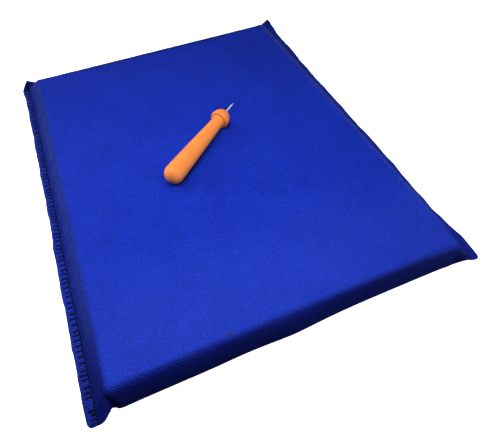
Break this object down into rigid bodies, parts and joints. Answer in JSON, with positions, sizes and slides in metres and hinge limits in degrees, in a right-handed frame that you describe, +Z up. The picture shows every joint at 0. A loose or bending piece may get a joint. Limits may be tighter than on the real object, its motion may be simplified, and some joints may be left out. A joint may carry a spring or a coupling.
{
  "type": "padded pricking mat with awl",
  "caption": "Flat foam mat in a stitched non-woven cover with flanged seams and a folded front end, and a club-shaped pricking awl that lifts off it.",
  "frame": {"origin": "centre of the mat's flat underside, midway between the foam board's sides and ends", "axes": "+X across the width to the right, +Y along the length from the folded front end to the stitched back end, +Z up"},
  "size_m": [0.241, 0.307, 0.0357],
  "materials": {
    "foam": "matte closed-cell foam",
    "cover_fabric": "matte point-bonded non-woven",
    "seam_thread": "matte spun thread",
    "seam_thread_plain": "matte spun thread",
    "handle_plastic": "satin moulded plastic",
    "needle_steel": "drawn steel"
  },
  "bodies": {
    "mat": {"foam_core": "foam", "cover": "cover_fabric", "left_seam_needle_thread": "seam_thread", "left_seam_bobbin_thread": "seam_thread_plain", "right_seam_needle_thread": "seam_thread_plain", "right_seam_bobbin_thread": "seam_thread", "back_seam_needle_thread": "seam_thread", "back_seam_bobbin_thread": "seam_thread_plain"},
    "awl": {"awl_handle": "handle_plastic", "awl_needle": "needle_steel"}
  },
  "joints": [
    {"name": "awl_lift", "type": "slide", "parent": "mat", "child": "awl", "axis": [0, 0, 1], "range_m": [0, 0.12]}
  ]
}
